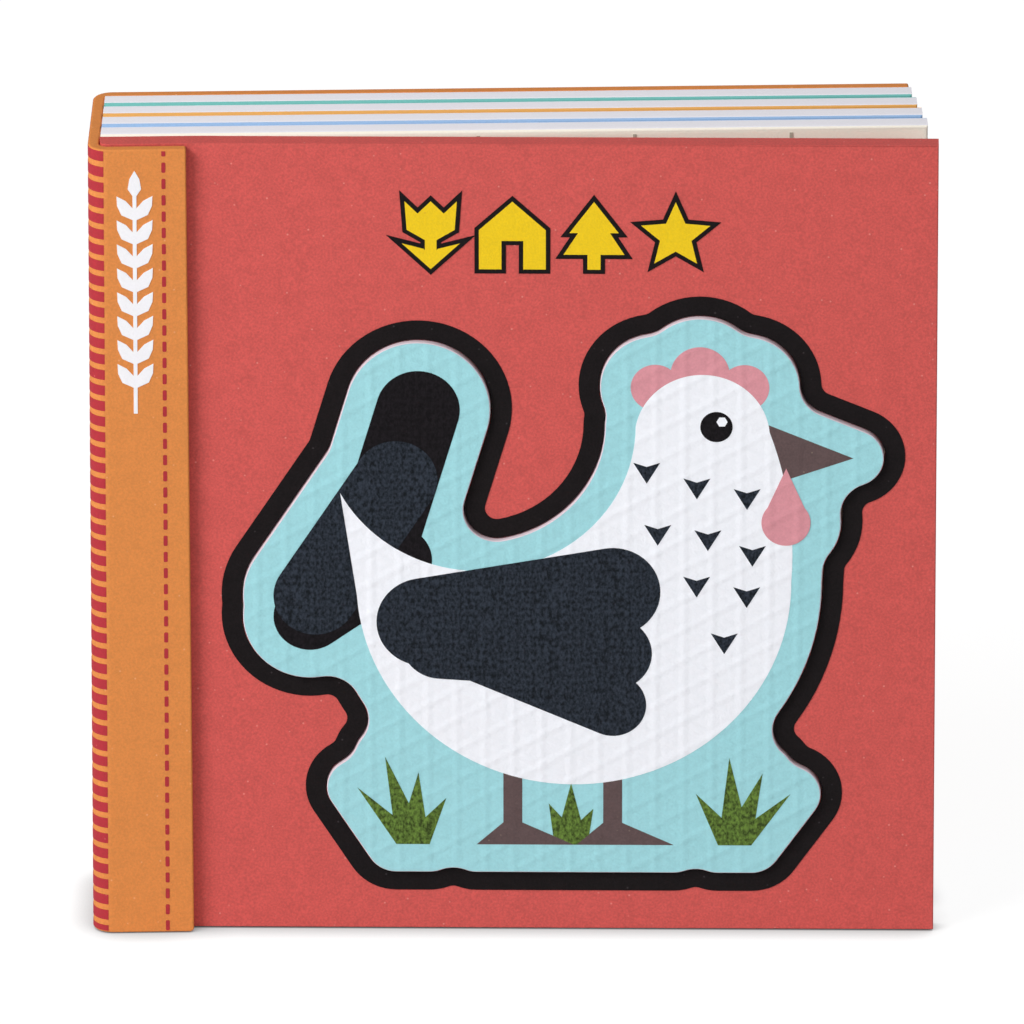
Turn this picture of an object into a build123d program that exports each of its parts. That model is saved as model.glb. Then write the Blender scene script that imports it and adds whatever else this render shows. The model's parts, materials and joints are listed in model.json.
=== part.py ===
from build123d import *
import os
from math import atan2, cos, pi, radians, sin, sqrt, tan

# Soft foam book for a small child: thick foam pages in a folded foam wrap, and a foam cover
# with a die-cut shape that pops out of it. It stands on its bottom edge, its cover a little ajar.
# Millimetres. While it is built, x runs from the spine's outer face to the fore-edge, y from the
# closed cover's front face to the back, and z up from the floor.

# Driving dimensions: the book
book_width = 152.0            # spine's outer face to the cover's fore-edge
book_height = 152.0           # floor to the cover's top edge
foot_gap = 0.3                # the cover and the pages hang this far clear of the floor
glue_line = 0.1               # adhesive between two glued sheets
ink = 0.1                     # height of a printed field above what it is printed on

# Driving dimensions: the wrap, one sheet that makes front flap, spine and back cover
wrap_thickness = 2.0
flap_width = 18.0             # spine's outer face to the flap's edge
wrap_bend = 3.5               # outer radius where the sheet bends
spine_lean = 1.7              # the spine's back bend stands this far in from its front bend
back_setback = 4.0            # the back cover ends this far short of the front cover
wrap_top_drop = 0.3           # the wrap's top edge lies this far below the cover's

# Driving dimensions: the pages
leaf_count = 4
leaf_thickness = 4.8
leaf_slit = 0.4               # between the foam of two leaves, their prints included
leaf_setback = 1.5            # the first leaf ends this far short of the cover
leaf_stagger = 0.7            # each leaf ends this far short of the one in front of it
leaf_edge = 0.9               # a leaf's cut edges are eased this far; its page colour rolls over them
binding_width = 15.0          # the leaves are glued to each other this far in from the spine
binding_inset = 4.0           # the glue stops this far short of the leaves' ends

# Driving dimensions: the cover
cover_thickness = 4.0
cover_corner = 1.2            # rounding of its two outer corners
closed_gap = 0.3              # between the closed cover and the print on the first page
crease_setback = 1.5          # the cover bends this far outside the flap's edge
crease_gap = 0.3              # cut between the glued margin and the swinging panel
open_gap = 0.3                # between the flap and the cover folded right back on it
cover_ajar = 2.4              # degrees that the standing book's cover is open

# Driving dimensions: the pop-out shape
piece_proud = 1.0             # the piece stands out of the cover's front face by this much
piece_clearance = 0.25        # all round the piece, in its opening
piece_rim = 5.5               # foam left round the picture
piece_smoothing = 6.0         # smallest inward bend of the piece's outline
line_width = 3.6              # printed line round the opening
picture_side_margin = 5.6     # between the printed line and the panel's edges, left and right
picture_foot_margin = 7.6     # between the printed line and the cover's bottom edge
picture_head_margin = 29.0    # kept free above the printed line for the title marks

# Driving dimensions: the small prints
mark_size = 13.0              # a title mark's height
mark_pitch = 14.6             # between title marks
mark_outline = 0.8
mark_row_drop = 17.4          # from the cover's top edge to the middle of the title marks
mark_row_shift = -1.8         # from the middle of the panel to the middle of the title marks
stitch_line = 14.0            # from the spine's outer face to the row of printed stitches
stitch_pitch = 3.0
stitch_length = 2.0
stitch_width = 0.7
stripe_pitch = 3.0
stripe_width = 1.9
stripe_reach = 2.9            # the spine's stripes run on this far in from its outer face
wheat_line = 8.4              # from the spine's outer face to the stem of the printed wheat
wheat_drop = 4.0              # from the wrap's top edge to the tip of the top grain
wheat_pairs = 8               # grains left and right of the stem
wheat_pitch = 4.6
grain_length = 5.4
grain_width = 2.4
grain_lean = 32.0             # degrees off the stem
stem_width = 0.7
stem_tail = 5.0               # bare stem below the lowest grains
wire_pitch = 28.0             # width of one mesh of the wire netting printed on the first page
wire_width = 0.6

# Worked out from the driving dimensions: depths
leaf_pitch = leaf_thickness + leaf_slit
first_leaf_front = cover_thickness + closed_gap + 2 * ink
pages_back = first_leaf_front + leaf_count * leaf_pitch - leaf_slit
flap_front = -glue_line - wrap_thickness
back_outside = pages_back + glue_line + wrap_thickness

# Worked out: the cover's crease, and the vertical line that the cover swings about
crease_x = flap_width + crease_setback
hinge_y = (flap_front - open_gap) / 2
panel_start = crease_x + crease_gap / 2
wrap_height = book_height - wrap_top_drop

# The picture's own size, from which it is scaled to the room that the panel leaves for it
PICTURE_WIDTH = 104.0
PICTURE_HEIGHT = 96.6
frame_round_picture = 2 * (piece_rim + piece_clearance + line_width)
room_width = book_width - flap_width - 2 * picture_side_margin - frame_round_picture
room_height = book_height - picture_foot_margin - picture_head_margin - frame_round_picture
picture_scale = min(room_width / PICTURE_WIDTH, room_height / PICTURE_HEIGHT)
picture_x = (flap_width + book_width) / 2
picture_z = picture_foot_margin + (frame_round_picture + PICTURE_HEIGHT * picture_scale) / 2


# Helpers
def front_solid(sketch, front, depth):
    """A sketch seen from the front, given depth; `front` is the y of the solid's front face."""
    return extrude(Plane.XZ.offset(-front - depth) * sketch, amount=depth)


def upright_box(x_range, y_range, z_range):
    size = [high - low for low, high in (x_range, y_range, z_range)]
    corner = [low for low, high in (x_range, y_range, z_range)]
    return Pos(*corner) * Box(*size, align=(Align.MIN, Align.MIN, Align.MIN))


def upright_sheet(x_range, z_range):
    """Flat rectangle in the front view."""
    width = x_range[1] - x_range[0]
    height = z_range[1] - z_range[0]
    return Pos(x_range[0], z_range[0]) * Rectangle(width, height, align=(Align.MIN, Align.MIN))


def disc(x, z, radius):
    return Pos(x, z) * Circle(radius)


def feather(root, tip, width):
    """Strip with round ends, from one point to another."""
    run = Vector(*tip) - Vector(*root)
    middle = (Vector(*root) + Vector(*tip)) / 2
    turn = Vector(1, 0).get_signed_angle(run)
    return Pos(middle.X, middle.Y) * Rot(0, 0, turn) * SlotCenterToCenter(run.length, width)


def patch(*corners):
    """Flat shape with straight edges."""
    return make_face(Polyline(*corners, close=True))


def scaled_patch(size, *corners):
    """The same, its corners given as shares of its size."""
    return patch(*[(x * size, z * size) for x, z in corners])


def joined(shapes):
    """One sketch made of several that overlap."""
    whole = shapes[0]
    for shape in shapes[1:]:
        whole = whole + shape
    return whole


# The picture: a speckled hen in the grass, in its own millimetres about its own middle
def hen_body():
    back = ThreePointArc((-40, 20), (-13, 5), (13, 33))
    crown = ThreePointArc((13, 33), (25, 43), (37, 32))
    breast = ThreePointArc((37, 32), (40.5, 18), (41, 3))
    belly = ThreePointArc((41, 3), (2, -36.5), (-37, 0))
    rump = Line((-37, 0), (-40, 20))
    return make_face([back, crown, breast, belly, rump])


def hen_tail():
    """Three feathers that fan out behind the body; the middle one lies over the other two."""
    outer = joined([feather((-26, 2), (-36, 36), 15), feather((-30, -4), (-45.5, 7), 13)])
    middle = feather((-30, 0), (-44.5, 22.5), 15)
    return outer, middle


def hen_wing():
    """Three long feathers from one round shoulder."""
    long_feather = feather((9, -5), (-25, 1), 17)
    return joined([long_feather, feather((9, -9), (-22, -11), 14), feather((9, -11), (-14, -21), 12)])


def hen_speckles():
    """Small darts on neck and breast."""
    places = [(15, 25), (24, 22), (33, 20), (17, 13), (26, 12), (34, 9), (24, 3), (33, 1), (29, -8)]
    return [patch((x - 2.4, z + 1), (x, z - 3), (x + 2.4, z + 1), (x, z + 0.2)) for x, z in places]


def hen_comb():
    return joined([disc(16.5, 40.5, 4.4), disc(24.5, 43, 5.3), disc(32.5, 40.5, 4.4)])


def hen_wattle():
    return joined([disc(40, 14.5, 4.4), patch((36.5, 17), (43.5, 17), (40, 25))])


def hen_beak():
    return patch((34, 34.5), (52, 27), (35, 21))


def hen_legs():
    """Shanks with a long toe in front and a short one behind."""
    legs = []
    for x in (-9, 9):
        shank = patch((x - 1.7, -30), (x + 1.7, -30), (x + 1.7, -45), (x - 1.7, -45))
        foot = patch((x - 6.5, -48.3), (x - 1.7, -44), (x + 1.7, -44), (x + 11, -48.3))
        legs.append(shank + foot)
    return joined(legs)


def grass():
    """Tufts of pointed blades along the ground."""
    blades = []
    for root_x, lean_and_height in (
        (-27, ((-10, 11), (-5, 17), (1, 14), (6, 9))),
        (1.5, ((-4, 8), (0, 12), (4, 7))),
        (31, ((-7, 10), (-1, 17), (5, 14), (10, 10))),
    ):
        for lean, height in lean_and_height:
            blades.append(patch((root_x - 3, -48.3), (root_x + lean, -48.3 + height), (root_x + 3, -48.3)))
    return joined(blades)


def picture_outline():
    """Everything that shows of the picture, as one sketch."""
    parts = [hen_body(), *hen_tail(), hen_comb(), hen_wattle(), hen_beak(), hen_legs(), grass()]
    return joined(parts)


def picture_fields():
    """The picture's fields on the blue ground: ink, how many fields lie under it, shapes."""
    body = hen_body()
    outer_tail, middle_tail = hen_tail()
    legs = hen_legs()
    pupil = disc(27.5, 33, 2.9)
    glint = Pos(28.5, 34) * RegularPolygon(1.0, 6)
    return [
        ("hen_white_print", 1, [body]),
        ("hen_black_print", 1, [outer_tail - body]),
        ("hen_pink_print", 1, [hen_comb() - body]),
        ("hen_brown_print", 1, [hen_beak() - body, legs - body]),
        ("grass_print", 1, [grass() - legs]),
        ("hen_charcoal_print", 2, [middle_tail - body, hen_wing(), *hen_speckles()]),
        ("hen_pink_print", 2, [hen_wattle()]),
        ("hen_black_print", 2, [pupil]),
        ("hen_white_print", 3, [glint]),
    ]


def to_cover(sketch):
    """Scales a shape of the picture and sets it in its place on the cover."""
    return Pos(picture_x, picture_z) * sketch.scale(picture_scale)


def grown(sketch, amount):
    """The outer outlines of a sketch, moved outwards by an amount; holes are filled."""
    islands = [make_face(face.outer_wire()) for face in sketch.faces()]
    wide = joined([offset(island, amount=amount, kind=Kind.ARC) for island in islands])
    return make_face(wide.faces().sort_by(SortBy.AREA)[-1].outer_wire())


def piece_outline():
    """The picture's silhouette with a rim round it, its inward corners smoothed."""
    wide = grown(to_cover(picture_outline()), piece_rim + piece_smoothing)
    return grown(wide, -piece_smoothing)


# The title marks and the wheat on the flap
def star(size):
    points = []
    for step in range(10):
        radius = size / 2 if step % 2 == 0 else size / 4.4
        turn = radians(90 + 36 * step)
        points.append((radius * cos(turn), radius * sin(turn)))
    return patch(*points)


def tulip(size):
    bloom = scaled_patch(
        size, (-0.36, 0.5), (-0.18, 0.32), (0, 0.5), (0.18, 0.32), (0.36, 0.5),
        (0.33, 0.08), (0, -0.12), (-0.33, 0.08),
    )
    leaves = scaled_patch(size, (0, -0.5), (0.4, -0.12), (0.1, -0.2), (0, -0.3), (-0.1, -0.2), (-0.4, -0.12))
    stalk = scaled_patch(size, (-0.08, -0.42), (0.08, -0.42), (0.08, 0), (-0.08, 0))
    return joined([bloom, leaves, stalk])


def barn(size):
    """A gabled front with a doorway."""
    front = scaled_patch(size, (-0.46, -0.5), (0.46, -0.5), (0.46, 0.08), (0, 0.5), (-0.46, 0.08))
    doorway = scaled_patch(size, (-0.15, -0.5), (0.15, -0.5), (0.15, -0.08), (-0.15, -0.08))
    return front - doorway


def tree(size):
    crown = scaled_patch(
        size, (-0.42, -0.28), (0.42, -0.28), (0.22, 0.04), (0.34, 0.04), (0, 0.5),
        (-0.34, 0.04), (-0.22, 0.04),
    )
    trunk = scaled_patch(size, (-0.09, -0.5), (0.09, -0.5), (0.09, -0.28), (-0.09, -0.28))
    return crown + trunk


def title_marks():
    """Yellow marks in a row above the piece, and the dark line round each."""
    marks = [tulip(mark_size), barn(mark_size), tree(mark_size), star(mark_size)]
    middle = (len(marks) - 1) / 2
    x = (flap_width + book_width) / 2 + mark_row_shift
    z = book_height - mark_row_drop
    filled = []
    outlines = []
    for number, mark in enumerate(marks):
        placed = Pos(x + (number - middle) * mark_pitch, z) * mark
        around = offset(make_face(placed.face().outer_wire()), amount=mark_outline, kind=Kind.INTERSECTION)
        filled.append(placed)
        outlines.append(around - placed)
    return filled, outlines


def wheat():
    """An ear of wheat that climbs the flap: pairs of grains, one at the tip, and a stem."""
    half_width = grain_width / 2
    half_length = grain_length / 2
    belly, shoulder = (half_width, -0.15 * grain_length), (0.75 * half_width, 0.2 * grain_length)
    right_side = [(0, -half_length), belly, shoulder, (0, half_length)]
    grain = patch(*right_side, (-shoulder[0], shoulder[1]), (-belly[0], belly[1]))
    tip = wrap_height - wheat_drop
    shapes = [Pos(wheat_line, tip - half_length) * grain]
    reach = half_length * cos(radians(grain_lean))
    for number in range(wheat_pairs):
        z = tip - grain_length * 0.9 - reach - number * wheat_pitch
        for side in (-1, 1):
            out = (stem_width + grain_length * sin(radians(grain_lean))) / 2
            shapes.append(Pos(wheat_line + side * out, z) * Rot(0, 0, -side * grain_lean) * grain)
    foot = z - reach - stem_tail
    stem = Pos(wheat_line, (foot + tip - half_length) / 2) * Rectangle(stem_width, tip - half_length - foot)
    return joined(shapes + [stem])


# The wrap and what is printed on it
def wrap_path():
    """The sheet's outer face, seen from above: flap, spine, back cover."""
    return FilletPolyline(
        (flap_width, flap_front),
        (0, flap_front),
        (spine_lean, back_outside),
        (book_width - back_setback, back_outside),
        radius=wrap_bend,
    )


def inside_of_path(path):
    """Everything that the folded sheet holds between its flap and its back, seen from above."""
    open_side = 2 * book_width
    flap_end, back_end = path @ 0, path @ 1
    mouth = Polyline(back_end, (open_side, back_end.Y), (open_side, flap_end.Y), flap_end)
    return make_face(path.edges() + mouth.edges())


def cover_wrap():
    sheet = make_face(offset(wrap_path(), amount=wrap_thickness, side=Side.RIGHT, closed=True))
    return extrude(sheet, amount=wrap_height)


def binding_space():
    """The room inside the wrap, less a glue line, as an upright solid."""
    inner_path = offset(wrap_path(), amount=wrap_thickness + glue_line, side=Side.RIGHT, closed=False)
    return extrude(inside_of_path(inner_path), amount=2 * book_height)


def spine_stripes():
    """Printed bars that run across the spine and a little way round its bends, in flat facets."""
    lean = atan2(spine_lean, back_outside - flap_front)
    corners = Polyline(
        (2 * book_width, flap_front), (0, flap_front),
        (spine_lean, back_outside), (2 * book_width, back_outside),
    )
    sheet = make_face(corners.edges() + [Line(corners @ 1, corners @ 0)])
    for corner, turn in (((0, flap_front), pi / 2 + lean), ((spine_lean, back_outside), pi / 2 - lean)):
        facet = wrap_bend * (tan(turn / 2) - tan(turn / 4))
        vertex = sheet.vertices().sort_by_distance((*corner, 0))[0]
        sheet = chamfer(vertex, facet)
    band = offset(sheet, amount=ink, kind=Kind.INTERSECTION) - sheet
    reach = Pos(stripe_reach, back_outside / 2) * Rectangle(
        wrap_bend * 4, back_outside * 2, align=(Align.MAX, Align.CENTER)
    )
    stripe = extrude(band & reach, amount=stripe_width)
    count = int(wrap_height // stripe_pitch)
    first = (wrap_height - (count - 1) * stripe_pitch - stripe_width) / 2
    return [Pos(0, 0, first + number * stripe_pitch) * stripe for number in range(count)]


def stitch_print():
    """A row of short printed dashes down the flap, like a seam."""
    count = int(wrap_height // stitch_pitch)
    first = (wrap_height - (count - 1) * stitch_pitch - stitch_length) / 2
    dashes = []
    for number in range(count):
        z = first + number * stitch_pitch
        dashes.append(
            upright_box(
                (stitch_line - stitch_width / 2, stitch_line + stitch_width / 2),
                (flap_front - ink, flap_front),
                (z, z + stitch_length),
            )
        )
    return dashes


# The pages
def leaf_blank(number, swell=0):
    """One foam leaf with its long edges eased, or the same leaf swelled a little all round."""
    front = first_leaf_front + number * leaf_pitch - swell
    x_end = book_width - leaf_setback - number * leaf_stagger + swell
    outline = upright_sheet((wrap_thickness, x_end), (foot_gap - swell, book_height + swell))
    blank = front_solid(outline, front, leaf_thickness + 2 * swell)
    long_edges = blank.edges().group_by(Axis.Y)[0] + blank.edges().group_by(Axis.Y)[-1]
    spine_side = blank.edges().group_by(Axis.X)[0]
    easing = leaf_edge + swell * (2 - sqrt(2))
    return chamfer([edge for edge in long_edges if edge not in spine_side], easing)


def binding_glue():
    """What holds each two leaves together along the spine."""
    seams = []
    for number in range(leaf_count - 1):
        seam_front = first_leaf_front + number * leaf_pitch + leaf_thickness
        seams.append(
            upright_box(
                (wrap_thickness, binding_width),
                (seam_front - leaf_edge / 2, seam_front + leaf_slit + leaf_edge / 2),
                (foot_gap + binding_inset, book_height - binding_inset),
            )
        )
    return seams


def page_print(number, side, seams, space):
    """Colour on one face of a leaf, rolled over its edges; side -1 is the front, +1 the back."""
    face = first_leaf_front + number * leaf_pitch
    if side < 0:
        slab = (face - ink, face + leaf_edge)
    else:
        slab = (face + leaf_thickness - leaf_edge, face + leaf_thickness + ink)
    zone = upright_box((0, book_width), slab, (0, book_height + foot_gap))
    skin = (leaf_blank(number, ink) & zone) - leaf_blank(number)
    return (skin - seams) & space


def netting():
    """Printed wires between hexagonal meshes, over the flat part of the first page."""
    side = wire_pitch / sqrt(3)
    row_pitch = 1.5 * side
    mesh_radius = side - wire_width / sqrt(3)
    meshes = []
    for row in range(int(book_height // row_pitch) + 2):
        shift = wire_pitch / 2 if row % 2 else 0
        for column in range(int(book_width // wire_pitch) + 2):
            spot = Pos(column * wire_pitch + shift, book_height - row * row_pitch + side / 4)
            meshes.append(spot * RegularPolygon(mesh_radius, 6, rotation=30))
    page_end = book_width - leaf_setback - leaf_edge
    page = upright_sheet((wrap_bend, page_end), (foot_gap + leaf_edge, book_height - leaf_edge))
    return page - meshes


# Build: the binding, which stands still
wrap = cover_wrap()
space = binding_space()
seams = Compound(binding_glue())
leaves = [leaf_blank(number) for number in range(leaf_count)]
pages = joined(leaves + binding_glue()) & space
margin = upright_box(
    (wrap_bend, crease_x - crease_gap / 2), (0, cover_thickness), (foot_gap, book_height)
)
wheat_print = front_solid(wheat(), flap_front - ink, ink)

# Build: the pages' prints, in pairs on facing pages, and the netting on the first page
facing_prints = {"page_print_blue": [], "page_print_amber": [], "page_print_teal": []}
for number in range(leaf_count - 1):
    colour = list(facing_prints)[number % len(facing_prints)]
    facing_prints[colour] += [page_print(number, 1, seams, space), page_print(number + 1, -1, seams, space)]
first_page_print = page_print(0, -1, seams, space)
netting_print = front_solid(netting(), first_leaf_front - 2 * ink, ink)

# Build: the cover, closed
outline = piece_outline()
opening = grown(outline, piece_clearance)
panel_outline = upright_sheet((panel_start, book_width), (foot_gap, book_height))
panel_outline = fillet(panel_outline.vertices().group_by(Axis.X)[-1], cover_corner)
panel = front_solid(panel_outline - opening, 0, cover_thickness)
piece = front_solid(outline, -piece_proud, cover_thickness + piece_proud)
opening_line = front_solid(grown(opening, line_width) - opening, -ink, ink)
cover_prints = {"sky_print": [front_solid(outline, -piece_proud - ink, ink)]}
for name, under, shapes in picture_fields():
    front = -piece_proud - (under + 1) * ink
    fields = [front_solid(to_cover(shape), front, ink) for shape in shapes]
    cover_prints.setdefault(name, []).extend(fields)
mark_fill, mark_lines = title_marks()
cover_prints["title_mark_print"] = [front_solid(mark, -ink, ink) for mark in mark_fill]
cover_prints["title_outline_print"] = [front_solid(line, -ink, ink) for line in mark_lines]

# Assemble: the cover stands ajar about its crease
hinge_line = Axis((crease_x, hinge_y, 0), (0, 0, 1))
binding_nodes = {
    "cover_wrap": wrap,
    "cover_margin": margin,
    "pages": pages,
    "spine_stripes": spine_stripes(),
    "stitch_print": stitch_print(),
    "wheat_print": wheat_print,
    "first_page_print": first_page_print,
    "netting_print": netting_print,
    **facing_prints,
}
cover_nodes = {
    "front_cover": panel,
    "pop_out_piece": piece,
    "opening_line_print": opening_line,
    **cover_prints,
}


def solids_of(shape):
    shapes = shape if isinstance(shape, list) else [shape]
    return [solid for one in shapes for solid in one.solids()]


nodes = {name: Compound(solids_of(shape)) for name, shape in binding_nodes.items()}
for name, shape in cover_nodes.items():
    nodes[name] = Compound(solids_of(shape)).rotate(hinge_line, -cover_ajar)

# Set the origin under the middle of the book
span = Compound(list(nodes.values())).bounding_box()
to_origin = Pos(-span.center().X, -span.center().Y, 0)
hinge_point = to_origin.position + Vector(crease_x, hinge_y, 0)

os.makedirs("parts", exist_ok=True)
for name, shape in nodes.items():
    export_step(to_origin * shape, f"parts/{name}.step")
print("hinge point", hinge_point, "picture scale", picture_scale)
print("size", span.size)
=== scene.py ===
import json
from math import atan2, cos, hypot, pi, radians, sin, tan

import bmesh
import bpy
from mathutils import Matrix, Vector


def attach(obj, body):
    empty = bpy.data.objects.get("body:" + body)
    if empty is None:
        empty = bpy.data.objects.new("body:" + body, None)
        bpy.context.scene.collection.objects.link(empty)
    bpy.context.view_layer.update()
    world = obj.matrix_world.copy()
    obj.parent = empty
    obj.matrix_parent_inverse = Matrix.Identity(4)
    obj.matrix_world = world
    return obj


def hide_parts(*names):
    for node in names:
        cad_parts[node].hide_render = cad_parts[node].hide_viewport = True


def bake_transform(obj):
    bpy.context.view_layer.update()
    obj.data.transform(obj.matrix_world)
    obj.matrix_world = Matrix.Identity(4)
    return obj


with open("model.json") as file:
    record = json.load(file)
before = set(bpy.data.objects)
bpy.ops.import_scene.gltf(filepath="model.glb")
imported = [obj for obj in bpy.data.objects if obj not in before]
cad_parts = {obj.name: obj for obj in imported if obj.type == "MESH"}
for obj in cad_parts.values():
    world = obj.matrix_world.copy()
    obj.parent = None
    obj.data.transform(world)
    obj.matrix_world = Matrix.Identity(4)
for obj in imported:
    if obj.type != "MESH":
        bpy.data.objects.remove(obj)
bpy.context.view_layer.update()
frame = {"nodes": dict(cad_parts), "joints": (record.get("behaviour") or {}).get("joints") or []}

# A soft foam book for a small child, standing on its bottom edge with its cover a little ajar.
# Sizes are in millimetres about the book's own corner, as it is made: x runs from the spine's outer
# face to the fore-edge, y from the closed cover's front face to the back, and z up from the floor.

# The book
BOOK_WIDTH = 152.0
BOOK_HEIGHT = 152.0
FOOT_GAP = 0.3                # the leaves and the cut cover end this far above the floor
GLUE_LINE = 0.1

# The wrap: one sheet that makes front flap, spine and back cover
WRAP_THICKNESS = 2.0
WRAP_HEIGHT = 151.7
WRAP_BEND = 3.5               # radius of the outer face at both bends
WRAP_BEND_STEPS = 12
WRAP_EASING = 0.35
FLAP_WIDTH = 18.0
FLAP_FRONT = -2.1
FLAP_ASKEW = 0.35             # the flap's edge is cut this far off plumb, each way
FLAP_CORNER = 0.7             # rounding of the flap's lower corner
SPINE_LEAN = 1.7              # how much nearer the fore-edge the spine stands at the back
BACK_OUTSIDE = 27.0
BACK_END = 148.0

# The leaves
LEAF_COUNT = 4
LEAF_THICKNESS = 4.8
LEAF_PITCH = 5.2
FIRST_LEAF_FRONT = 4.5
FIRST_LEAF_END = 150.5
LEAF_STAGGER = 0.7            # each leaf ends this much before the one in front of it
LEAF_ROUNDING = 1.1
SPINE_SIDE = 10.0             # a leaf's edges nearer the spine than this are its cut spine side
PRINT_ROLL = 0.62             # how far a page's print rolls over the leaf's edges
BINDING_WIDTH = 15.0
BINDING_INSET = 4.0
SEAM_OVERLAP = 0.3
SEAM_INSET = 1.0

# The cover
COVER_AJAR = 2.4              # degrees
COVER_FOOT = 0.1
COVER_CORNER = 1.3            # reach about each free corner that is drawn out square
RIM_REACH = 1.3
RIM_EASING = 0.25
MARGIN_START = 2.35
MARGIN_ROUNDING = 1.3
CREASE_X = 19.5
PANEL_START = 19.65
HINGE_Y = -1.2
BEND_START = 18.2
BEND_END = 22.6
BEND_STEPS = 14

# The pop-out shape
PIECE_PROUD = 1.0
PIECE_EASING = 0.18
NET_PITCH = 5.9               # from one cell of the rolled net to the next

# The prints
INK = 0.1
INK_SHARE = 0.5               # share of its height that each ink keeps on the pop-out shape
WRAP_INK = 0.05               # height of the prints on the wrap
WEAVE_PITCH = 1.45            # of the fine weave in the dark inks
STRIPE_PITCH = 3.0
STRIPE_WIDTH = 1.9
STRIPE_COUNT = 51
LOWEST_STRIPE = -0.47
STRIPE_START = 3.72           # a bar is folded from here, just past the flap's bend,
STRIPE_BACK = 3.4             # to this far beyond the spine's back edge, just past the back's bend,
STRIPE_END = 2.9              # and is then trimmed back to here at both ends
STRIPE_STEPS = 10
STITCH_LINE = 13.6
STITCH_PITCH = 3.125
STITCH_COUNT = 49
LOWEST_STITCH = 0.38
STITCH_LENGTH = 1.95
STITCH_WIDTH = 0.73
STITCH_ROUNDING = 0.3         # share of the width

# The patterns in the foam's skin
GRAIN_SIZE = 0.42             # the real cells are finer, so they are drawn as coarse as they need to show
CLOUD_SIZE = 3.0
FLECK_SPACING = 2.6
BLOTCH_WIDTH = 0.48

# Work on the meshes
NEAR = 0.1                    # what lies this close to a line counts as on it
FACING = 0.99                 # a normal's share along an axis from which a face looks that way
MERGE_DISTANCE = 0.002
FLAT_ANGLE = 0.5              # degrees

# The light: lamps by name, azimuth and elevation in degrees, distance and size in metres, and watts
WORLD_LEVEL = 0.24
LAMPS = (
    ("key", -54, 38, 1.6, 0.7, 22.0),
    ("front_fill", 10, 32, 1.8, 1.0, 2.6),
    ("back_fill", 170, 3, 1.6, 0.3, 5.0),
)

# The floor
FLOOR_SIZE = 12.0             # metres
FLOOR_DROP = 0.2
# reach of the painted contact shadow on the floor, in millimetres
PAINTED_SHADOW_REACH = 8.0
SHADOW_SHARE = 0.14
OPEN_SHARE = 0.87             # where this share of the space around it is open, the floor is white

# The camera, fitted to the photograph's outlines
CAMERA_DISTANCE = 4.2086
CAMERA_ELEVATION = 22.034
CAMERA_AZIMUTH = -1.7838
CAMERA_TARGET = (0.00017, 0.0, 0.076107)
CAMERA_SENSOR = 36.0
CAMERA_LENS = 23358.6 / 1024 * CAMERA_SENSOR

# Where the book's own corner lies in the frame
hinge = next(joint for joint in frame["joints"] if joint["name"] == "cover_hinge")["pos_m"]
CORNER_X = hinge[0] * 1000 - CREASE_X
CORNER_Y = hinge[1] * 1000 - HINGE_Y


# Placing
def spot(x, y, z):
    """A point of the book in the frame, in metres."""
    return Vector(((x + CORNER_X) / 1000, (y + CORNER_Y) / 1000, z / 1000))


def length(value):
    """A length of the book in metres."""
    return value / 1000


def book_point(point):
    """A point of the frame in the book's millimetres."""
    return Vector((point.x * 1000 - CORNER_X, point.y * 1000 - CORNER_Y, point.z * 1000))


# Working on a mesh
def deselect_all():
    if bpy.context.mode != "OBJECT":
        bpy.ops.object.mode_set(mode="OBJECT")
    bpy.ops.object.select_all(action="DESELECT")


def pick(piece):
    """Makes a piece the only selected one."""
    deselect_all()
    piece.select_set(True)
    bpy.context.view_layer.objects.active = piece


def edit(piece, mode="FACE"):
    """Opens a piece in edit mode with nothing selected."""
    pick(piece)
    bpy.ops.object.mode_set(mode="EDIT")
    bpy.ops.mesh.select_mode(type=mode)
    bpy.ops.mesh.select_all(action="DESELECT")


def leave():
    bpy.ops.object.mode_set(mode="OBJECT")


def select_all():
    bpy.ops.mesh.select_all(action="SELECT")


def select_none():
    bpy.ops.mesh.select_all(action="DESELECT")


def select_faces(piece, wanted):
    """Selects the faces whose centre (in the book's millimetres) and normal pass a test."""
    mesh = bmesh.from_edit_mesh(piece.data)
    for face in mesh.faces:
        face.select_set(bool(wanted(book_point(face.calc_center_median()), face.normal)))
    mesh.select_flush_mode()
    bmesh.update_edit_mesh(piece.data)


def select_edges(piece, wanted):
    """Selects the edges whose two ends (in the book's millimetres) pass a test."""
    mesh = bmesh.from_edit_mesh(piece.data)
    for edge in mesh.edges:
        start, end = (book_point(vertex.co) for vertex in edge.verts)
        edge.select_set(bool(wanted(start, end)))
    bmesh.update_edit_mesh(piece.data)


def merge_doubles():
    """Merges points that lie together, all over the mesh in edit mode."""
    select_all()
    bpy.ops.mesh.remove_doubles(threshold=length(MERGE_DISTANCE))


def make_flats_whole():
    """Merges flat neighbours to whole faces, all over the mesh in edit mode."""
    select_all()
    bpy.ops.mesh.dissolve_limited(angle_limit=radians(FLAT_ANGLE))


def round_off(width, segments):
    """Bevels the selected edges."""
    bpy.ops.mesh.bevel(offset=length(width), segments=segments, affect="EDGES")


def cut_planes(axis, places):
    """Cuts the whole mesh in edit mode at planes across one axis, at places in the book's millimetres."""
    normal = [1 if axis == number else 0 for number in range(3)]
    for place in places:
        select_all()
        bpy.ops.mesh.bisect(plane_co=spot(place, place, place), plane_no=normal)


def trim(place, outwards):
    """Cuts off what lies beyond a plane and closes the cut, in edit mode."""
    select_all()
    bpy.ops.mesh.bisect(plane_co=place, plane_no=outwards, clear_outer=True, use_fill=True)


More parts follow.
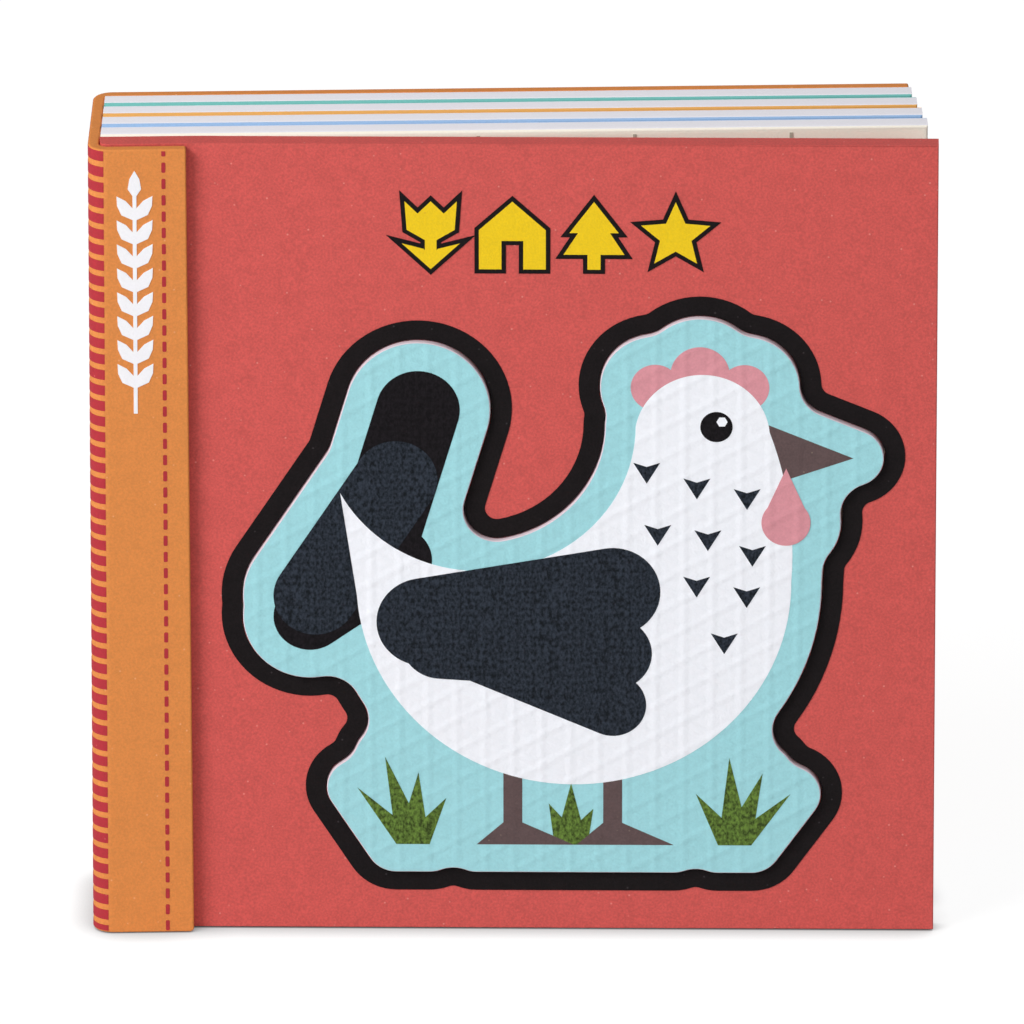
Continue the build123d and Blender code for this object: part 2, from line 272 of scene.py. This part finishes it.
def block(name, x_range, y_range, z_range):
    """A plain block, its object at the origin."""
    deselect_all()
    low = spot(x_range[0], y_range[0], z_range[0])
    high = spot(x_range[1], y_range[1], z_range[1])
    bpy.ops.mesh.primitive_cube_add(size=1, location=(low + high) / 2, scale=high - low)
    piece = bpy.context.object
    name_piece(piece, name)
    bpy.ops.object.transform_apply(location=True, rotation=True, scale=True)
    return piece


def name_piece(piece, name):
    piece.name = name
    piece.data.name = name


def copy_of(piece, name):
    """A separate piece with a mesh of its own."""
    twin = piece.copy()
    twin.data = piece.data.copy()
    name_piece(twin, name)
    twin.parent = None
    for key in list(twin.keys()):
        del twin[key]
    bpy.context.scene.collection.objects.link(twin)
    return twin


def cut_piece(cad_name, name):
    """A copy of a cut sheet, its loose triangles merged to whole faces."""
    piece = copy_of(frame["nodes"][cad_name], name)
    piece.data.materials.clear()
    edit(piece, "VERT")
    merge_doubles()
    make_flats_whole()
    leave()
    return piece


def joined(name, parts):
    """Several pieces of the same stuff as one."""
    deselect_all()
    for part in parts:
        part.select_set(True)
    bpy.context.view_layer.objects.active = parts[0]
    bpy.ops.object.join()
    whole = bpy.context.object
    name_piece(whole, name)
    return whole


def crease_turn(degrees_open):
    """A turn of the cover about the crease, opening as seen from above."""
    line = Matrix.Translation(spot(CREASE_X, HINGE_Y, 0))
    return line @ Matrix.Rotation(radians(-degrees_open), 4, "Z") @ line.inverted()


def swing(piece, degrees_open):
    """Turns a piece of the cover about the crease."""
    piece.data.transform(crease_turn(degrees_open))
    piece.data.update()


def finish_modifier(piece, kind, **settings):
    """Adds a modifier, sets it and applies it."""
    pick(piece)
    modifier = piece.modifiers.new(kind.title(), kind)
    for key, value in settings.items():
        setattr(modifier, key, value)
    bpy.ops.object.modifier_apply(modifier=modifier.name)


def copies_up(piece, count, pitch):
    """Repeats a piece up the book."""
    finish_modifier(piece, "ARRAY", count=count, use_relative_offset=False, use_constant_offset=True,
                    constant_offset_displace=(0, 0, length(pitch)))


def thicken(skin, thickness):
    """Gives a skin its thickness outwards."""
    finish_modifier(skin, "SOLIDIFY", thickness=length(thickness), offset=1.0)


def smooth(piece, angle=32):
    """Shades round edges smooth, and lets the large faces beside them stay flat."""
    pick(piece)
    bpy.ops.object.shade_smooth_by_angle(angle=radians(angle))
    finish_modifier(piece, "WEIGHTED_NORMAL", keep_sharp=True, weight=80)


# Materials
def linear(hex_colour):
    """An sRGB hex colour as linear RGBA."""
    shares = [int(hex_colour[place:place + 2], 16) / 255 for place in (1, 3, 5)]
    return [s / 12.92 if s <= 0.04045 else ((s + 0.055) / 1.055) ** 2.4 for s in shares] + [1.0]


def node(tree, kind, settings=None, **links):
    """Adds a shader node; settings by name, and for each input a value or another node's output."""
    made = tree.nodes.new(kind)
    for key, value in (settings or {}).items():
        setattr(made, key, value)
    for key, value in links.items():
        socket = made.inputs[int(key[1:])] if key[0] == "_" else made.inputs[key.replace("_", " ")]
        if isinstance(value, bpy.types.NodeSocket):
            tree.links.new(value, socket)
        else:
            socket.default_value = value
    return made


def shader(name, **values):
    """A new material's node tree and its shader, with the values that are the same all over."""
    material = bpy.data.materials.new(name)
    material.use_nodes = True
    tree = material.node_tree
    surface = next(n for n in tree.nodes if n.type == "BSDF_PRINCIPLED")
    for key, value in values.items():
        surface.inputs[key.replace("_", " ")].default_value = value
    return material, tree, surface


def waves(tree, place, spacing, turns):
    """Even waves across the upright face, summed: spacing in millimetres, turns in degrees from level."""
    pace = 2 * pi * 1000 / spacing
    total = None
    for turn in turns:
        across = (pace * cos(radians(turn)), 0.0, pace * sin(radians(turn)))
        along = node(tree, "ShaderNodeVectorMath", {"operation": "DOT_PRODUCT"}, _0=place, _1=across)
        wave = node(tree, "ShaderNodeMath", {"operation": "COSINE"}, _0=along.outputs["Value"])
        if total:
            wave = node(tree, "ShaderNodeMath", {"operation": "ADD"},
                        _0=total.outputs[0], _1=wave.outputs[0])
        total = wave
    return total.outputs[0]


def rolled_net(tree, place, height, finer):
    """A low regular net of cells that a roller pressed into the foam, with finer ones between."""
    spacing = NET_PITCH * cos(radians(30))
    relief = waves(tree, place, spacing, (0, 60, 120))
    for parts, share in ((2, 0.9), (3, 0.5)):
        cells = waves(tree, place, spacing / parts, (0, 60, 120))
        relief = node(tree, "ShaderNodeMath", {"operation": "MULTIPLY_ADD"},
                      _0=cells, _1=share, _2=relief).outputs[0]
    return node(tree, "ShaderNodeBump", Height=relief, Distance=length(height), Strength=1.0, Normal=finer)


def foam(name, colour, mottle=0.05, roughness=0.8, depth=0.05, fleck=None, net=0.0, shine=0.28,
         cloud_share=0.3):
    """Closed-cell EVA foam: dry and matt, with a fine grain, a soft mottle and a few stray flecks."""
    material, tree, surface = shader(name, Specular_IOR_Level=shine)
    place = node(tree, "ShaderNodeTexCoord").outputs["Object"]
    # Skin of the foam: its cells, drawn coarse, over a softer unevenness of about 3 mm
    grain = node(tree, "ShaderNodeTexNoise", Vector=place,
                 Scale=1000 / GRAIN_SIZE, Detail=2.0, Roughness=0.55)
    cloud = node(tree, "ShaderNodeTexNoise", Vector=place,
                 Scale=1000 / CLOUD_SIZE, Detail=2.0, Roughness=0.5)
    mixed = node(tree, "ShaderNodeMath", {"operation": "MULTIPLY_ADD"},
                 _0=cloud.outputs["Fac"], _1=cloud_share, _2=grain.outputs["Fac"])
    middle = 0.5 + 0.5 * cloud_share
    share = node(tree, "ShaderNodeMapRange", Value=mixed.outputs[0],
                 From_Min=middle - 0.2, From_Max=middle + 0.2)
    base = linear(colour)
    darker = [part * (1 - mottle) for part in base[:3]] + [1.0]
    lighter = [min(1.0, part * (1 + mottle)) for part in base[:3]] + [1.0]
    tone = node(tree, "ShaderNodeMix", {"data_type": "RGBA"}, _0=share.outputs[0], _6=darker, _7=lighter)
    # Flecks where cells broke open: about 0.4 mm wide, two or three to the square centimetre
    cells = node(tree, "ShaderNodeTexVoronoi", Vector=place, Scale=1000 / FLECK_SPACING)
    flecks = node(tree, "ShaderNodeMapRange", Value=cells.outputs["Distance"],
                  From_Min=0.04, From_Max=0.09, To_Min=0.55, To_Max=0.0)
    flecked = node(tree, "ShaderNodeMix", {"data_type": "RGBA"}, _0=flecks.outputs[0],
                   _6=tone.outputs[2], _7=linear(fleck or colour))
    tree.links.new(flecked.outputs[2], surface.inputs["Base Color"])
    rough = node(tree, "ShaderNodeMapRange", Value=grain.outputs["Fac"], From_Min=0.3, From_Max=0.7,
                 To_Min=roughness - 0.08, To_Max=min(1.0, roughness + 0.08))
    tree.links.new(rough.outputs[0], surface.inputs["Roughness"])
    relief = node(tree, "ShaderNodeBump", Height=mixed.outputs[0], Distance=length(depth), Strength=1.0)
    if net:
        relief = rolled_net(tree, place, net, relief.outputs[0])
    tree.links.new(relief.outputs[0], surface.inputs["Normal"])
    return material


def heather(name, dark, light, net=0.012):
    """Dark ink on embossed foam: paler blotches show through it like heathered cloth."""
    material, tree, surface = shader(name, Specular_IOR_Level=0.15)
    place = node(tree, "ShaderNodeTexCoord").outputs["Object"]
    # Blotches about half a millimetre wide, a little taller than wide
    stretch = node(tree, "ShaderNodeMapping", Vector=place, Scale=(1.0, 1.0, 0.7))
    blotch = node(tree, "ShaderNodeTexNoise", Vector=stretch.outputs[0],
                  Scale=1000 / BLOTCH_WIDTH, Detail=1.0, Roughness=0.6)
    # and a faint square weave among them, at the pitch that the photograph shows
    woven = node(tree, "ShaderNodeMath", {"operation": "MULTIPLY_ADD"},
                 _0=waves(tree, place, WEAVE_PITCH, (0, 90)), _1=0.03, _2=blotch.outputs["Fac"])
    share = node(tree, "ShaderNodeMapRange", Value=woven.outputs[0], From_Min=0.3, From_Max=0.7)
    tone = node(tree, "ShaderNodeMix", {"data_type": "RGBA"}, _0=share.outputs[0],
                _6=linear(dark), _7=linear(light))
    tree.links.new(tone.outputs[2], surface.inputs["Base Color"])
    rough = node(tree, "ShaderNodeMapRange", Value=blotch.outputs["Fac"], To_Min=0.75, To_Max=0.95)
    tree.links.new(rough.outputs[0], surface.inputs["Roughness"])
    relief = node(tree, "ShaderNodeBump", Height=blotch.outputs["Fac"], Distance=length(0.06), Strength=1.0)
    pressed = rolled_net(tree, place, net, relief.outputs[0])
    tree.links.new(pressed.outputs[0], surface.inputs["Normal"])
    return material


# Split foam sheet: matt and a little mottled, with pale flecks where cells are open
orange_foam = foam("EVA foam sheet, orange", "#DC8946", mottle=0.08, fleck="#EBB183")
red_foam = foam("EVA foam sheet, red", "#CD5752", mottle=0.14, fleck="#E39A90")
# Cut edges of pale foam: the same stuff, finer and more even
page_foam = foam("EVA foam leaf, cut edge", "#F6F4FB", depth=0.03, mottle=0.02)
piece_foam = foam("EVA foam piece, cut edge", "#DCCCD4", depth=0.03, mottle=0.02)
# Ink printed on flat foam: as matt as the foam, whose grain shows through it
black_ink = foam("Screen print on foam, black", "#1A1617", mottle=0.3, roughness=0.9, fleck="#4A4446",
                 shine=0.12)
red_ink = foam("Screen print on foam, deep red", "#AE2E38", mottle=0.08, fleck="#CF6A62")
white_ink = foam("Screen print on foam, white", "#F4F3F7", mottle=0.02)
yellow_ink = foam("Screen print on foam, yellow", "#EEC817", mottle=0.05, fleck="#D9A62A")
blue_ink = foam("Screen print on leaf, pale blue", "#9EC0E6", mottle=0.03)
amber_ink = foam("Screen print on leaf, amber", "#E9AF62", mottle=0.03)
teal_ink = foam("Screen print on leaf, teal", "#78C3BD", mottle=0.03)
cream_ink = foam("Screen print on leaf, cream", "#FFF9EA", mottle=0.02)
grey_ink = foam("Screen print on leaf, warm grey", "#B5AE9E", mottle=0.05)
# Ink on embossed foam: the rolled net catches the light in low, even cells
body_white = foam("Screen print on embossed foam, white", "#F4F6FC", mottle=0.015, net=0.02,
                  cloud_share=0.5)
sky_ink = foam("Screen print on embossed foam, sky blue", "#A0D8DF", mottle=0.04, net=0.02,
               cloud_share=0.5)
pink_ink = foam("Screen print on embossed foam, pink", "#D9939C", mottle=0.05, net=0.02,
                cloud_share=0.5)
brown_ink = foam("Screen print on embossed foam, brown", "#5E4C4C", mottle=0.14, fleck="#8A7A6E",
                 net=0.012)
# Dark ink on embossed foam: it takes unevenly, so it looks like heathered cloth
tail_black = heather("Screen print on embossed foam, black", "#0C090C", "#1C181C")
charcoal_ink = heather("Screen print on embossed foam, charcoal", "#10151B", "#323944")
green_ink = heather("Screen print on embossed foam, green", "#35421C", "#6C8A3C")


def coat(piece, material):
    piece.data.materials.clear()
    piece.data.materials.append(material)


# The wrap
def folded(name, flap_end, y_range, z_range, back_end, steps):
    """A strip that starts as the flap's edge and is spun and extruded round the spine to the back."""
    lean = atan2(SPINE_LEAN, BACK_OUTSIDE - FLAP_FRONT)
    front_turn = pi / 2 + lean
    back_turn = pi / 2 - lean
    front_reach = WRAP_BEND * tan(front_turn / 2)
    back_reach = WRAP_BEND * tan(back_turn / 2)
    spine_run = hypot(SPINE_LEAN, BACK_OUTSIDE - FLAP_FRONT) - front_reach - back_reach
    up_the_spine = Vector((sin(lean), cos(lean), 0)) * length(spine_run)
    along_the_back = (length(back_end - SPINE_LEAN - back_reach), 0, 0)
    strip = block(name, (front_reach, flap_end), y_range, z_range)
    edit(strip)
    select_faces(strip, lambda centre, normal: normal.x < -FACING)
    bpy.ops.mesh.spin(steps=steps, angle=front_turn, axis=(0, 0, 1),
                      center=spot(front_reach, FLAP_FRONT + WRAP_BEND, 0))
    bpy.ops.mesh.extrude_region_move(TRANSFORM_OT_translate={"value": up_the_spine})
    bpy.ops.mesh.spin(steps=steps, angle=back_turn, axis=(0, 0, 1),
                      center=spot(SPINE_LEAN + back_reach, BACK_OUTSIDE - WRAP_BEND, 0))
    bpy.ops.mesh.extrude_region_move(TRANSFORM_OT_translate={"value": along_the_back})
    merge_doubles()
    bpy.ops.mesh.normals_make_consistent(inside=False)
    leave()
    return strip


def on_flap_end(point, level):
    """Whether a point lies on the flap's free end, at its top or its foot."""
    return abs(point.x - FLAP_WIDTH) < 1 and point.y < 0 and abs(point.z - level) < 1


wrap = folded("folded_wrap", FLAP_WIDTH, (FLAP_FRONT, FLAP_FRONT + WRAP_THICKNESS), (0, WRAP_HEIGHT),
              BACK_END, WRAP_BEND_STEPS)
edit(wrap, "EDGE")
for level, askew in ((WRAP_HEIGHT, -FLAP_ASKEW), (0, FLAP_ASKEW)):
    select_none()
    select_edges(wrap, lambda a, b: on_flap_end(a, level) and on_flap_end(b, level))
    bpy.ops.transform.translate(value=(length(askew), 0, 0))
round_off(FLAP_CORNER, 4)
leave()
finish_modifier(wrap, "BEVEL", width=length(WRAP_EASING), segments=3, limit_method="ANGLE",
                angle_limit=radians(50))
smooth(wrap)
coat(wrap, orange_foam)
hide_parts("cover_wrap")
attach(wrap, "binding")

# The spine's stripes: one bar, copied up the spine
stripes = folded("spine_stripe_print", STRIPE_START, (FLAP_FRONT - WRAP_INK, FLAP_FRONT),
                 (LOWEST_STRIPE, LOWEST_STRIPE + STRIPE_WIDTH), SPINE_LEAN + STRIPE_BACK, STRIPE_STEPS)
copies_up(stripes, STRIPE_COUNT, STRIPE_PITCH)
edit(stripes)
trim(spot(STRIPE_END, 0, 0), (1, 0, 0))
trim(spot(0, 0, WRAP_EASING), (0, 0, -1))
leave()
smooth(stripes)
coat(stripes, red_ink)
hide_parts("spine_stripes")
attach(stripes, "binding")

# The row of printed stitches: one dash with round ends, copied up the flap
stitches = block("stitch_dashes", (STITCH_LINE - STITCH_WIDTH / 2, STITCH_LINE + STITCH_WIDTH / 2),
                 (FLAP_FRONT - WRAP_INK, FLAP_FRONT), (LOWEST_STITCH, LOWEST_STITCH + STITCH_LENGTH))
edit(stitches, "EDGE")
select_edges(stitches, lambda a, b: abs(a.y - b.y) > WRAP_INK / 2)
round_off(STITCH_WIDTH * STITCH_ROUNDING, 3)
leave()
copies_up(stitches, STITCH_COUNT, STITCH_PITCH)
edit(stitches)
trim(spot(0, 0, WRAP_HEIGHT - WRAP_EASING), (0, 0, 1))
leave()
coat(stitches, red_ink)
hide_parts("stitch_print")
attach(stitches, "binding")


# The leaves
def inner_spine(y):
    """Where the wrap's inner face lies at a depth."""
    return WRAP_THICKNESS + GLUE_LINE + SPINE_LEAN * (y - FLAP_FRONT) / (BACK_OUTSIDE - FLAP_FRONT)


def leaf_front(number):
    """The depth at which a leaf's front face lies."""
    return FIRST_LEAF_FRONT + number * LEAF_PITCH


def leaf(number):
    """One foam leaf: a slab with round cut edges, its spine side cut to the wrap's lean."""
    front = leaf_front(number)
    back = front + LEAF_THICKNESS
    slab = block(f"leaf_{number + 1}", (inner_spine(front), FIRST_LEAF_END - number * LEAF_STAGGER),
                 (front, back), (FOOT_GAP, BOOK_HEIGHT))
    edit(slab, "EDGE")
    select_edges(slab, lambda a, b: max(a.x, b.x) < SPINE_SIDE and min(a.y, b.y) > back - NEAR)
    bpy.ops.transform.translate(value=(length(inner_spine(back) - inner_spine(front)), 0, 0))
    select_none()
    select_edges(slab, lambda a, b: abs(a.y - b.y) < NEAR and max(a.x, b.x) > SPINE_SIDE)
    round_off(LEAF_ROUNDING, 5)
    cut_planes(1, [front + PRINT_ROLL, back - PRINT_ROLL])
    leave()
    return slab


def page_skin(slab, number, side):
    """The print on one face of a leaf: the leaf's own surface, rolled over its edges, a film thick."""
    face = leaf_front(number) + (LEAF_THICKNESS if side > 0 else 0)
    skin = copy_of(slab, slab.name + ("_back" if side > 0 else "_front"))
    edit(skin)
    select_faces(skin, lambda centre, normal: (face - centre.y) * side > PRINT_ROLL or normal.x < -FACING)
    bpy.ops.mesh.delete(type="FACE")
    leave()
    thicken(skin, INK)
    return skin


def seam(number):
    """The glued strip between a leaf and the next, along the binding."""
    front = leaf_front(number) + LEAF_THICKNESS
    return block(f"seam_{number + 1}", (inner_spine(front) + SEAM_INSET, BINDING_WIDTH),
                 (front - SEAM_OVERLAP, leaf_front(number + 1) + SEAM_OVERLAP),
                 (FOOT_GAP + BINDING_INSET, BOOK_HEIGHT - BINDING_INSET))


leaves = [leaf(number) for number in range(LEAF_COUNT)]
first_skin = page_skin(leaves[0], 0, -1)
page_skins = []
for number, (ink_name, ink) in enumerate((("blue", blue_ink), ("amber", amber_ink), ("teal", teal_ink))):
    pair = [page_skin(leaves[number], number, 1), page_skin(leaves[number + 1], number + 1, -1)]
    skin = joined(f"page_print_{ink_name}_skin", pair)
    coat(skin, ink)
    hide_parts(f"page_print_{ink_name}")
    page_skins.append(skin)
first_skin.name = "first_page_skin"
coat(first_skin, cream_ink)
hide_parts("first_page_print")
leaf_block = joined("leaf_block", leaves + [seam(number) for number in range(LEAF_COUNT - 1)])
coat(leaf_block, page_foam)
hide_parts("pages")
for piece in [leaf_block, first_skin, *page_skins]:
    smooth(piece, 40)
    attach(piece, "binding")


# The cover: one sheet that bends at the flap's edge
def at_rim(point):
    """Whether a point lies on the cover's outer rim, not round its opening."""
    return min(point.z - COVER_FOOT, BOOK_HEIGHT - point.z, BOOK_WIDTH - point.x) < RIM_REACH


def near_corner(point, level):
    """Whether a point lies on the rounding of one of the cover's free corners."""
    return BOOK_WIDTH - point.x < COVER_CORNER and abs(point.z - level) < COVER_CORNER


cover = cut_piece("front_cover", "cover_sheet")
swing(cover, -COVER_AJAR)
edit(cover)
# The glued margin, drawn out of the panel's spine side, and the foot
select_faces(cover, lambda centre, normal: normal.x < -FACING and centre.x < PANEL_START + NEAR)
bpy.ops.mesh.extrude_region_move(TRANSFORM_OT_translate={
    "value": (length(MARGIN_START - PANEL_START), 0, 0)})
make_flats_whole()
select_faces(cover, lambda centre, normal: normal.z < -FACING and centre.z < FOOT_GAP + NEAR)
bpy.ops.transform.translate(value=(0, 0, length(COVER_FOOT - FOOT_GAP)))
# The free corners, made square
bpy.ops.mesh.select_mode(type="EDGE")
for level in (COVER_FOOT, BOOK_HEIGHT):
    select_none()
    select_edges(cover, lambda a, b: near_corner(a, level) and near_corner(b, level))
    bpy.ops.transform.resize(value=(0, 1, 0), center_override=spot(BOOK_WIDTH, 0, level))
merge_doubles()
# The edges
select_none()
select_edges(cover, lambda a, b: max(a.x, b.x) < MARGIN_START + NEAR and max(a.y, b.y) < NEAR)
round_off(MARGIN_ROUNDING, 4)
select_none()
select_edges(cover, lambda a, b: at_rim(a) and at_rim((a + b) / 2) and at_rim(b) and abs(a.y - b.y) < NEAR)
round_off(RIM_EASING, 2)
# The bend: cuts across it, and an equal part of the turn between each two of them
bend_step = (BEND_END - BEND_START) / BEND_STEPS
cut_planes(0, [BEND_START + number * bend_step for number in range(BEND_STEPS + 1)])
bpy.ops.mesh.select_mode(type="VERT")
merge_doubles()
bpy.ops.mesh.normals_make_consistent(inside=False)
select_none()
mesh = bmesh.from_edit_mesh(cover.data)
for number in range(BEND_STEPS):
    past = BEND_START + (number + 0.5) * bend_step
    moved = [vertex for vertex in mesh.verts if book_point(vertex.co).x > past]
    bmesh.ops.transform(mesh, matrix=crease_turn(COVER_AJAR / BEND_STEPS), verts=moved)
bmesh.update_edit_mesh(cover.data)
leave()
smooth(cover)
coat(cover, red_foam)
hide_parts("front_cover", "cover_margin")
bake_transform(cover)


# The pop-out shape, and the blue print that covers its face up to the eased edge
def on_cover(piece, slot, *nodes):
    """Sets a piece that was made with the cover closed on the cover as it stands."""
    swing(piece, COVER_AJAR)
    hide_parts(*nodes)
    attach(piece, "cover")


popper = cut_piece("pop_out_piece", "pop_out_shape")
swing(popper, -COVER_AJAR)
edit(popper, "EDGE")
select_edges(popper, lambda a, b: max(a.y, b.y) < -PIECE_PROUD + NEAR)
round_off(PIECE_EASING, 2)
leave()
sky = copy_of(popper, "sky_skin")
edit(sky)
select_faces(sky, lambda centre, normal: normal.y > -FACING)
bpy.ops.mesh.delete(type="FACE")
leave()
thicken(sky, INK * INK_SHARE)
coat(sky, sky_ink)
on_cover(sky, "sky_ink", "sky_print")
smooth(popper, 50)
coat(popper, piece_foam)
on_cover(popper, "piece_foam", "pop_out_piece")

# The picture's fields, pressed flatter than they are cut
for cad_name, name, slot, ink in (
    ("hen_white_print", "hen_white_field", "white_ink", body_white),
    ("hen_charcoal_print", "hen_charcoal_field", "charcoal_ink", charcoal_ink),
    ("hen_black_print", "hen_black_field", "black_ink", tail_black),
    ("hen_pink_print", "hen_pink_field", "pink_ink", pink_ink),
    ("hen_brown_print", "hen_brown_field", "brown_ink", brown_ink),
    ("grass_print", "grass_field", "green_ink", green_ink),
):
    field = cut_piece(cad_name, name)
    swing(field, -COVER_AJAR)
    edit(field)
    select_all()
    bpy.ops.transform.resize(value=(1, INK_SHARE, 1), center_override=spot(0, -PIECE_PROUD, 0))
    leave()
    coat(field, ink)
    on_cover(field, slot, cad_name)

# The prints that stay as they are cut
for cad_name, ink in (
    ("opening_line_print", black_ink), ("title_mark_print", yellow_ink), ("title_outline_print", black_ink),
    ("wheat_print", white_ink), ("netting_print", grey_ink),
):
    coat(frame["nodes"][cad_name], ink)


# The floor, the light and the camera
def plain_floor():
    """Pale board; the camera sees it glowing white, with a painted shadow where the book meets it and a
    share of its real shadow.
    """
    deselect_all()
    bpy.ops.mesh.primitive_plane_add(size=FLOOR_SIZE, location=(0, 0, -length(FLOOR_DROP)))
    floor = bpy.context.object
    floor.name = "floor"
    material, tree, surface = shader("Painted board, white", Base_Color=linear("#F4F4F4"), Roughness=0.9,
                                     Specular_IOR_Level=0.1)
    path = node(tree, "ShaderNodeLightPath")
    seen = node(tree, "ShaderNodeMath", {"operation": "MAXIMUM"}, _0=path.outputs["Is Camera Ray"],
                _1=path.outputs["Is Glossy Ray"])
    # What the camera sees: a white glow, with painted shade that darkens it close to the book, and a share
    # of the board's real shadow
    painted_contact_shadow = node(tree, "ShaderNodeAmbientOcclusion", {"samples": 16}, Distance=length(PAINTED_SHADOW_REACH))
    level = node(tree, "ShaderNodeMapRange", Value=painted_contact_shadow.outputs["AO"], From_Max=OPEN_SHARE,
                 To_Max=1 - SHADOW_SHARE * 0.5)
    glow = node(tree, "ShaderNodeEmission", Color=(1, 1, 1, 1), Strength=level.outputs[0])
    seen_board = node(tree, "ShaderNodeBsdfDiffuse", Color=[SHADOW_SHARE] * 3 + [1.0])
    seen_sum = node(tree, "ShaderNodeAddShader", _0=seen_board.outputs[0], _1=glow.outputs[0])
    total = node(tree, "ShaderNodeMixShader", _0=seen.outputs[0], _1=surface.outputs[0],
                 _2=seen_sum.outputs[0])
    output = next(n for n in tree.nodes if n.type == "OUTPUT_MATERIAL")
    tree.links.new(total.outputs[0], output.inputs["Surface"])
    coat(floor, material)


def white_world():
    """Even white all round; what the camera sees of it is plain white."""
    world = bpy.data.worlds.new("studio")
    bpy.context.scene.world = world
    world.use_nodes = True
    tree = world.node_tree
    tree.nodes.clear()
    path = node(tree, "ShaderNodeLightPath")
    seen = node(tree, "ShaderNodeMath", {"operation": "MAXIMUM"}, _0=path.outputs["Is Camera Ray"],
                _1=path.outputs["Is Transmission Ray"])
    light = node(tree, "ShaderNodeBackground", Color=(1, 1, 1, 1), Strength=WORLD_LEVEL)
    white = node(tree, "ShaderNodeBackground", Color=(1, 1, 1, 1), Strength=1.0)
    chosen = node(tree, "ShaderNodeMixShader", _0=seen.outputs[0], _1=light.outputs[0], _2=white.outputs[0])
    output = node(tree, "ShaderNodeOutputWorld")
    tree.links.new(chosen.outputs[0], output.inputs["Surface"])


def set_up(name, data, azimuth, elevation, distance):
    """Sets a lamp or the camera at a distance, facing the book's middle."""
    thing = bpy.data.objects.new(name, data)
    turn, tilt = radians(azimuth), radians(elevation)
    away = Vector((sin(turn) * cos(tilt), -cos(turn) * cos(tilt), sin(tilt)))
    thing.location = Vector(CAMERA_TARGET) + away * distance
    thing.rotation_euler = away.to_track_quat("Z", "Y").to_euler()
    bpy.context.scene.collection.objects.link(thing)
    return thing


plain_floor()
white_world()
for name, azimuth, elevation, distance, size, power in LAMPS:
    lamp_data = bpy.data.lights.new(name, "AREA")
    lamp_data.size = size
    lamp_data.energy = power
    set_up(name, lamp_data, azimuth, elevation, distance)

camera_data = bpy.data.cameras.new("camera")
camera_data.sensor_width = CAMERA_SENSOR
camera_data.lens = CAMERA_LENS
camera_data.clip_end = 50.0
bpy.context.scene.camera = set_up("camera", camera_data, CAMERA_AZIMUTH, CAMERA_ELEVATION, CAMERA_DISTANCE)
bpy.context.scene.view_settings.view_transform = "Standard"

deselect_all()
